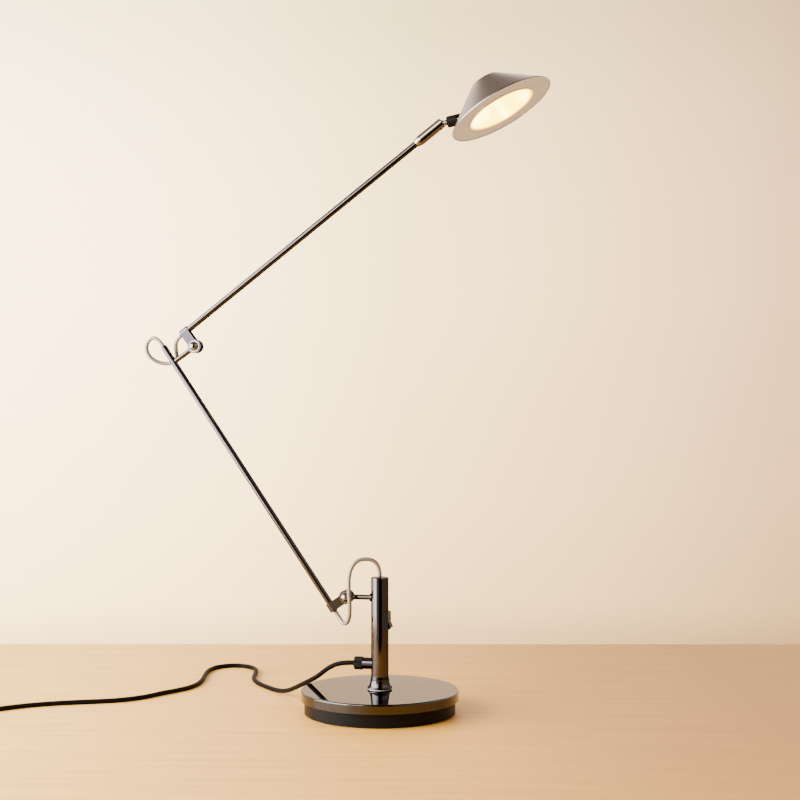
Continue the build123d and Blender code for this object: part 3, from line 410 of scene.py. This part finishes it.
class Paint:
    """A node material on one Principled shader, with short words for what repeats."""

    def __init__(self, name):
        self.material = bpy.data.materials.new(name)
        self.material.use_nodes = True
        self.nodes = self.material.node_tree.nodes
        self.links = self.material.node_tree.links
        self.shader = self.nodes["Principled BSDF"]
        self.place = self.nodes.new("ShaderNodeTexCoord")

    def set(self, **settings):
        """Sets the shader's own sockets, such as base_color, to plain values."""
        for key, value in settings.items():
            name = key.replace("_", " ").title().replace("Ior", "IOR")
            self.shader.inputs[name].default_value = value

    def feed(self, name, out):
        """Links a node's output into one of the shader's sockets."""
        self.join(out, self.shader.inputs[name])

    def add(self, kind, **settings):
        node = self.nodes.new(kind)
        for key, value in settings.items():
            if key in node.inputs:
                node.inputs[key].default_value = value
            else:
                setattr(node, key, value)
        return node

    def join(self, out, into):
        self.links.new(out, into)

    def noise(self, scale, detail=3.0, stretch=(1, 1, 1)):
        mapping = self.add("ShaderNodeMapping")
        mapping.inputs["Scale"].default_value = stretch
        self.join(self.place.outputs["Object"], mapping.inputs["Vector"])
        texture = self.add("ShaderNodeTexNoise", Scale=scale, Detail=detail)
        self.join(mapping.outputs["Vector"], texture.inputs["Vector"])
        return texture.outputs["Fac"]

    def ramp(self, value, *stops):
        """Colours or greys by value: each stop is (position, grey or colour)."""
        node = self.add("ShaderNodeValToRGB")
        fill_ramp(node, stops)
        self.join(value, node.inputs["Fac"])
        return node.outputs["Color"]

    def along(self, direction):
        """How far a point of the surface lies along a direction."""
        node = self.add("ShaderNodeVectorMath", operation="DOT_PRODUCT")
        self.join(self.place.outputs["Object"], node.inputs[0])
        node.inputs[1].default_value = direction
        return node.outputs["Value"]

    def bump(self, height, strength, distance):
        node = self.add("ShaderNodeBump", Strength=strength, Distance=distance)
        self.join(height, node.inputs["Height"])
        self.feed("Normal", node.outputs["Normal"])


def smooth_metal(name, dark, light, rough_low, rough_high, smudge_scale=35.0, edge=1.0):
    """A polished metal: its colour drifts a little, and smudges change how sharply it mirrors."""
    paint = Paint(name)
    paint.set(metallic=1.0, specular_tint=(edge, edge, edge, 1))
    smudge = paint.noise(smudge_scale, 4)
    fine = paint.noise(METAL_GRAIN, 2)
    paint.feed("Base Color", paint.ramp(smudge, (DRIFT_LOW, dark), (DRIFT_HIGH, light)))
    mix = paint.add("ShaderNodeMath", operation="MULTIPLY_ADD")
    paint.join(fine, mix.inputs[0])
    mix.inputs[1].default_value = METAL_GRAIN_SHARE
    paint.join(smudge, mix.inputs[2])
    stops = (METAL_ROUGH_LOW, rough_low), (METAL_ROUGH_HIGH, rough_high)
    paint.feed("Roughness", paint.ramp(mix.outputs[0], *stops))
    paint.bump(fine, METAL_BUMP, METAL_BUMP_DEPTH)
    return paint.material


def satin_coat(name, dark, light, roughness, metallic, grain=900.0, bump=0.10, specular=0.5):
    """A powder or metallic coat: fine grain in its gloss and its surface, clouds in its colour."""
    paint = Paint(name)
    paint.set(metallic=metallic, specular_ior_level=specular)
    cloud = paint.noise(COAT_CLOUDS, 3)
    grains = paint.noise(grain, 2)
    paint.feed("Base Color", paint.ramp(cloud, (DRIFT_LOW, dark), (DRIFT_HIGH, light)))
    low, high = roughness - COAT_ROUGH_SPREAD, roughness + COAT_ROUGH_SPREAD
    paint.feed("Roughness", paint.ramp(grains, (DRIFT_LOW, low), (DRIFT_HIGH, high)))
    paint.bump(grains, bump, COAT_BUMP_DEPTH)
    return paint.material


def paint_rim_edge(material):
    """The rim's narrow face, level with the ring, is as light as the ring."""
    nodes, links = material.node_tree.nodes, material.node_tree.links
    shader = nodes["Principled BSDF"]
    height = nodes.new("ShaderNodeVectorMath")
    height.operation = "DOT_PRODUCT"
    height.inputs[1].default_value = FACE_AXIS
    links.new(nodes["Texture Coordinate"].outputs["Object"], height.inputs[0])
    below = nodes.new("ShaderNodeMath")
    below.operation = "LESS_THAN"
    below.inputs[1].default_value = FACE_LEVEL + RIM_EDGE_HEIGHT
    links.new(height.outputs["Value"], below.inputs[0])
    mix = nodes.new("ShaderNodeMix")
    mix.data_type = "RGBA"
    links.new(below.outputs[0], mix.inputs["Factor"])
    links.new(shader.inputs["Base Color"].links[0].from_socket, mix.inputs["A"])
    mix.inputs["B"].default_value = RING_LIGHT
    links.new(mix.outputs["Result"], shader.inputs["Base Color"])


def braid(name):
    """A flex's braided sleeve: two sets of strands that cross, from turns round and metres along."""
    paint = Paint(name)
    split = paint.add("ShaderNodeSeparateXYZ")
    paint.join(paint.place.outputs["UV"], split.inputs["Vector"])
    crossings = []
    for hand in (1.0, -1.0):
        lean = paint.add("ShaderNodeMath", operation="MULTIPLY_ADD")
        paint.join(split.outputs["Y"], lean.inputs[0])
        lean.inputs[1].default_value = hand * BRAID_PER_METRE
        turn = paint.add("ShaderNodeMath", operation="MULTIPLY")
        paint.join(split.outputs["X"], turn.inputs[0])
        turn.inputs[1].default_value = BRAID_ROUND
        paint.join(turn.outputs[0], lean.inputs[2])
        wave = paint.add("ShaderNodeMath", operation="PINGPONG")
        paint.join(lean.outputs[0], wave.inputs[0])
        wave.inputs[1].default_value = BRAID_HALF_STEP
        crossings.append(wave.outputs[0])
    strands = paint.add("ShaderNodeMath", operation="MULTIPLY")
    paint.join(crossings[0], strands.inputs[0])
    paint.join(crossings[1], strands.inputs[1])
    stops = (0.0, BRAID_GAP), (BRAID_GAP_END, BRAID_STRAND)
    paint.feed("Base Color", paint.ramp(strands.outputs[0], *stops))
    paint.set(metallic=BRAID_METALLIC, specular_tint=BRAID_EDGE, roughness=BRAID_ROUGHNESS)
    paint.bump(strands.outputs[0], BRAID_BUMP, BRAID_BUMP_DEPTH)
    return paint.material


def glowing_lens(name, centre, radius):
    """The frosted lens with the light on: white with soft yellow patches, golden at its edge."""
    paint = Paint(name)
    offset = paint.add("ShaderNodeVectorMath", operation="DISTANCE")
    paint.join(paint.place.outputs["Object"], offset.inputs[0])
    offset.inputs[1].default_value = centre
    share = paint.add("ShaderNodeMath", operation="DIVIDE")
    paint.join(offset.outputs["Value"], share.inputs[0])
    share.inputs[1].default_value = radius
    patches = paint.noise(LENS_PATCHES, 1, LENS_PATCH_STRETCH)
    glow = paint.add("ShaderNodeVectorMath", operation="MULTIPLY")
    paint.join(paint.ramp(patches, *LENS_GLOW), glow.inputs[0])
    paint.join(paint.ramp(share.outputs[0], *LENS_EDGE), glow.inputs[1])
    paint.feed("Emission Color", glow.outputs[0])
    paint.set(base_color=LENS_BASE, roughness=LENS_ROUGHNESS, emission_strength=LENS_STRENGTH)
    return paint.material


def make_materials():
    made = {name: smooth_metal(name, **values) for name, values in SMOOTH_METALS.items()}
    made.update({name: satin_coat(name, **values) for name, values in SATIN_COATS.items()})
    lens_low, lens_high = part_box("lens")
    made["braided_flex"] = braid("braided_flex")
    made["frosted_lens"] = glowing_lens("frosted_lens", (lens_low + lens_high) / 2, LENS_RADIUS)
    return made


def dress_nodes(materials):
    """Gives every CAD node the material of its slot in the record, and the vent its own."""
    for subpart in frame["record"]["subparts"]:
        node = frame["nodes"][subpart["node"]]
        node.data.materials.clear()
        node.data.materials.append(materials[subpart["material_slot"]])
    frame["nodes"]["top_vent"].data.materials[0] = materials["vent_coat"]


# ---------------------------------------------------------------- floor and light
# Directions are told from the lamp: towards the camera, to its right, and the turn from one to the
# other, so the metals mirror the studio that the photograph shows in them.
TO_CAMERA = Vector((0.22495, -0.97437, 0))
TO_RIGHT = Vector((0.97437, 0.22495, 0))
TABLE_BEHIND = 0.475
TABLE_BEFORE = 0.62
TABLE_ASIDE = 1.6
TABLE_ROUGHNESS = 0.55
# Each free edge: its direction, and how far out the table starts to fade and has faded.
TABLE_FADES = ((TO_CAMERA, 0.375, 0.45), (TO_RIGHT, 0.85, 1.5), (-TO_RIGHT, 0.60, 0.80))
# The wood's colours from left to right, with painted shade: light on the left, darker to the right.
WOOD_AND_SHADE_MIDDLE = 0.5
WOOD_AND_PAINTED_SHADE_ACROSS = (
    (0.05, (0.93, 0.545, 0.120)), (0.5, (0.67, 0.335, 0.044)),
    (0.75, (0.47, 0.213, 0.024)), (0.95, (0.38, 0.163, 0.016)),
)
GRAIN_ALONG, GRAIN_ACROSS = 1.5, 26.0
GRAIN_SCALE, GRAIN_DETAIL = 3.0, 4.0
GRAIN_SHADE = ((0.34, 0.88), (0.66, 1.06))

# The wall that the camera sees, by how far to the right and how high it looks. Its light is painted:
# brighter on the left, darker to the right, brightest a little above the table, darker higher up and
# lower down.
WALL_ACROSS_SCALE, WALL_ACROSS_SHIFT = 1.6, 0.5
WALL_PAINTED_LIGHT_ACROSS = (
    (0.10, (1.0, 0.71, 0.39)), (0.30, (0.82, 0.58, 0.305)), (0.50, (0.58, 0.40, 0.185)),
    (0.70, (0.44, 0.29, 0.14)), (0.90, (0.294, 0.179, 0.088)),
)
WALL_UP_SCALE, WALL_UP_SHIFT = 2.0, 0.4
WALL_PAINTED_LIGHT_UP = (
    (0.088, (0.57, 0.53, 0.45)), (0.134, (0.79, 0.74, 0.62)), (0.266, (0.90, 0.86, 0.76)),
    (0.40, (0.95, 0.92, 0.87)), (0.534, (1.0, 1.0, 0.96)), (0.668, (0.98, 0.99, 0.96)),
    (0.78, (0.89, 0.91, 0.90)), (0.90, (0.70, 0.74, 0.73)),
)
WALL_STRENGTH = 8.5

# The studio that the metals mirror, by the turn round the lamp and by height.
BACK, LEFT = (0.95, 0.76, 0.64), (0.83, 0.68, 0.50)
RIGHT, DARK = (0.42, 0.35, 0.30), (0.004, 0.003, 0.003)
STUDIO_ROUND = (
    (0.0, BACK), (0.17, BACK), (0.36, LEFT), (0.44, LEFT), (0.475, DARK), (0.55, DARK),
    (0.62, RIGHT), (0.80, RIGHT), (0.92, BACK),
)
STUDIO_UP = (
    (0.0, (0.42, 0.36, 0.26)), (0.22, (0.47, 0.41, 0.31)), (0.40, (1.0, 1.0, 1.0)),
    (0.52, (1.0, 1.0, 1.0)), (0.68, (0.2, 0.19, 0.185)),
)
STUDIO_STRENGTH = 4.2

# The softboxes: each one's turn in degrees to the camera's right, and its brightness in a mirror.
SOFTBOXES = {
    "key": dict(
        turn=-76, distance=1.7, height=0.6, size=(1.9, 2.0), radiance=22.0,
        colour=(1.0, 0.96, 0.92),
    ),
    "front": dict(
        turn=-37, distance=1.8, height=1.05, size=(0.75, 1.3), radiance=9.5,
        colour=(1.0, 0.97, 0.96),
    ),
    "top": dict(
        turn=160, distance=0.5, height=2.1, size=(1.6, 1.2), radiance=3.0,
        colour=(1.0, 0.97, 0.93), mirrored=False,
    ),
}


def table_wood_and_painted_shade(paint):
    """The table's colour: wood with faint grain along it, darkening to the right as painted shade,
    lighter on the left where the light falls.
    """
    aside = paint.add("ShaderNodeMath", operation="MULTIPLY_ADD")
    paint.join(paint.along(TO_RIGHT), aside.inputs[0])
    aside.inputs[1].default_value = 1.0
    aside.inputs[2].default_value = WOOD_AND_SHADE_MIDDLE
    grain = paint.add("ShaderNodeCombineXYZ")
    paint.join(paint.along(TO_RIGHT * GRAIN_ALONG), grain.inputs["X"])
    paint.join(paint.along(TO_CAMERA * GRAIN_ACROSS), grain.inputs["Y"])
    streaks = paint.add("ShaderNodeTexNoise", Scale=GRAIN_SCALE, Detail=GRAIN_DETAIL)
    paint.join(grain.outputs["Vector"], streaks.inputs["Vector"])
    shown = paint.add("ShaderNodeVectorMath", operation="MULTIPLY")
    paint.join(paint.ramp(aside.outputs[0], *WOOD_AND_PAINTED_SHADE_ACROSS), shown.inputs[0])
    paint.join(paint.ramp(streaks.outputs["Fac"], *GRAIN_SHADE), shown.inputs[1])
    return shown.outputs[0]


def edge_fade(paint, direction, near, far):
    """1 on the table, falling smoothly to 0 from near to far along a direction."""
    fade = paint.add("ShaderNodeMapRange", interpolation_type="SMOOTHSTEP")
    paint.join(paint.along(direction), fade.inputs["Value"])
    for key, value in {"From Min": near, "From Max": far, "To Min": 1.0, "To Max": 0.0}.items():
        fade.inputs[key].default_value = value
    return fade.outputs["Result"]


def make_floor():
    """A plain pale table: a straight far edge as in the photograph, the others fade out."""
    behind, before = -TO_CAMERA * TABLE_BEHIND, TO_CAMERA * TABLE_BEFORE
    beside = TO_RIGHT * TABLE_ASIDE
    corners = [before - beside, before + beside, behind + beside, behind - beside]
    mesh = bpy.data.meshes.new("floor")
    mesh.from_pydata(corners, [], [(0, 1, 2, 3)])
    floor = bpy.data.objects.new("floor", mesh)
    bpy.context.scene.collection.objects.link(floor)
    paint = Paint("floor")
    paint.set(roughness=TABLE_ROUGHNESS)
    paint.feed("Base Color", table_wood_and_painted_shade(paint))
    shown, *others = [edge_fade(paint, *fade) for fade in TABLE_FADES]
    for fade in others:
        product = paint.add("ShaderNodeMath", operation="MULTIPLY")
        paint.join(shown, product.inputs[0])
        paint.join(fade, product.inputs[1])
        shown = product.outputs[0]
    paint.feed("Alpha", shown)
    floor.data.materials.append(paint.material)


def area_light(name, turn, distance, height, size, radiance, colour, mirrored=True):
    """A softbox. One that the metals mirror stands upright, the other looks at the lamp's foot."""
    angle = math.radians(turn)
    aside = TO_CAMERA * math.cos(angle) + TO_RIGHT * math.sin(angle)
    place = aside * distance + Vector((0, 0, height))
    target = Vector((0, 0, height if mirrored else 0))
    data = bpy.data.lights.new(name, "AREA")
    data.shape = "RECTANGLE"
    data.size, data.size_y = size
    data.energy = radiance * math.pi * size[0] * size[1]
    data.color = colour
    light = bpy.data.objects.new(name, data)
    light.location = place
    light.rotation_euler = (target - place).to_track_quat("-Z", "Y").to_euler()
    light.visible_glossy = mirrored
    bpy.context.scene.collection.objects.link(light)


def make_world():
    """A pale wall as the camera sees it, with painted light brighter on its left; the metals mirror
    a studio that is dark in front.
    """
    world = bpy.data.worlds.new("studio")
    bpy.context.scene.world = world
    world.use_nodes = True
    nodes, links = world.node_tree.nodes, world.node_tree.links
    place = nodes.new("ShaderNodeTexCoord").outputs["Generated"]

    def math_node(operation, *values):
        node = nodes.new("ShaderNodeMath")
        node.operation = operation
        for socket, value in zip(node.inputs, values):
            if isinstance(value, (int, float)):
                socket.default_value = value
            else:
                links.new(value, socket)
        return node.outputs[0]

    def along(direction):
        node = nodes.new("ShaderNodeVectorMath")
        node.operation = "DOT_PRODUCT"
        node.inputs[1].default_value = direction
        links.new(place, node.inputs[0])
        return node.outputs["Value"]

    def ramp(value, stops):
        node = nodes.new("ShaderNodeValToRGB")
        fill_ramp(node, stops)
        links.new(value, node.inputs["Fac"])
        return node.outputs["Color"]

    def shine(background, first, second, strength):
        """Gives a background the product of two colours, and its strength."""
        product = nodes.new("ShaderNodeVectorMath")
        product.operation = "MULTIPLY"
        links.new(first, product.inputs[0])
        links.new(second, product.inputs[1])
        links.new(product.outputs[0], background.inputs["Color"])
        background.inputs["Strength"].default_value = strength

    rightness, height = along(TO_RIGHT), along((0, 0, 1))
    sideways = math_node("MULTIPLY_ADD", rightness, WALL_ACROSS_SCALE, WALL_ACROSS_SHIFT)
    upwards = math_node("MULTIPLY_ADD", height, WALL_UP_SCALE, WALL_UP_SHIFT)
    seen = nodes["Background"]
    shine(seen, ramp(sideways, WALL_PAINTED_LIGHT_ACROSS), ramp(upwards, WALL_PAINTED_LIGHT_UP), WALL_STRENGTH)

    turn = math_node("ARCTAN2", rightness, along(TO_CAMERA))
    round_share = math_node("MULTIPLY_ADD", turn, 1 / (2 * math.pi), 0.5)
    mirrored = nodes.new("ShaderNodeBackground")
    shine(mirrored, ramp(round_share, STUDIO_ROUND), ramp(height, STUDIO_UP), STUDIO_STRENGTH)

    path = nodes.new("ShaderNodeLightPath")
    mix = nodes.new("ShaderNodeMixShader")
    links.new(path.outputs["Is Camera Ray"], mix.inputs[0])
    links.new(mirrored.outputs[0], mix.inputs[1])
    links.new(seen.outputs[0], mix.inputs[2])
    links.new(mix.outputs[0], nodes["World Output"].inputs["Surface"])


make_camera()
materials = make_materials()
paint_rim_edge(materials["shade_coat"])
make_cords(materials["braided_flex"], materials["mains_sheath"])
dress_nodes(materials)
make_floor()
make_world()
for name, values in SOFTBOXES.items():
    area_light(name, **values)
